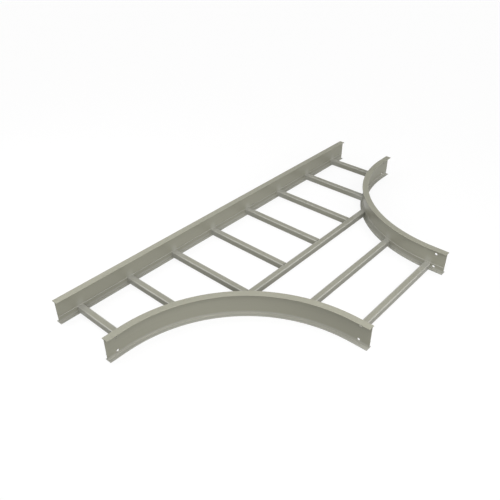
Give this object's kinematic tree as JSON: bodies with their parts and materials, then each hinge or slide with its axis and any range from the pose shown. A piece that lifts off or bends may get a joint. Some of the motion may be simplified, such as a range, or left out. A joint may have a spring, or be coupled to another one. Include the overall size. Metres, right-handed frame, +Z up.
{
  "type": "cable ladder tee",
  "caption": "Welded aluminium cable ladder tee: a straight I-section rail, curved I-section rails and box rungs join a run of cable ladder to a wider side branch.",
  "frame": {"origin": "middle of the plan's bounding rectangle, on the underside of the rails", "axes": "+X along the straight rail, +Y from the branch end to the straight rail, +Z up, out of the cable way"},
  "size_m": [1.95, 0.9944, 0.105],
  "materials": {
    "rail_aluminium": "satin mill finish, faint lengthwise extrusion lines",
    "rung_aluminium": "satin mill finish, faint lengthwise extrusion lines"
  },
  "bodies": {
    "root": {"straight_rail": "rail_aluminium", "left_curved_rail": "rail_aluminium", "right_curved_rail": "rail_aluminium", "run_rung_1": "rung_aluminium", "run_rung_2": "rung_aluminium", "run_rung_3": "rung_aluminium", "run_rung_4": "rung_aluminium", "run_rung_5": "rung_aluminium", "run_rung_6": "rung_aluminium", "run_rung_7": "rung_aluminium", "run_rung_8": "rung_aluminium", "cross_rung": "rung_aluminium", "branch_rung_1": "rung_aluminium", "branch_rung_2": "rung_aluminium"}
  },
  "joints": []
}
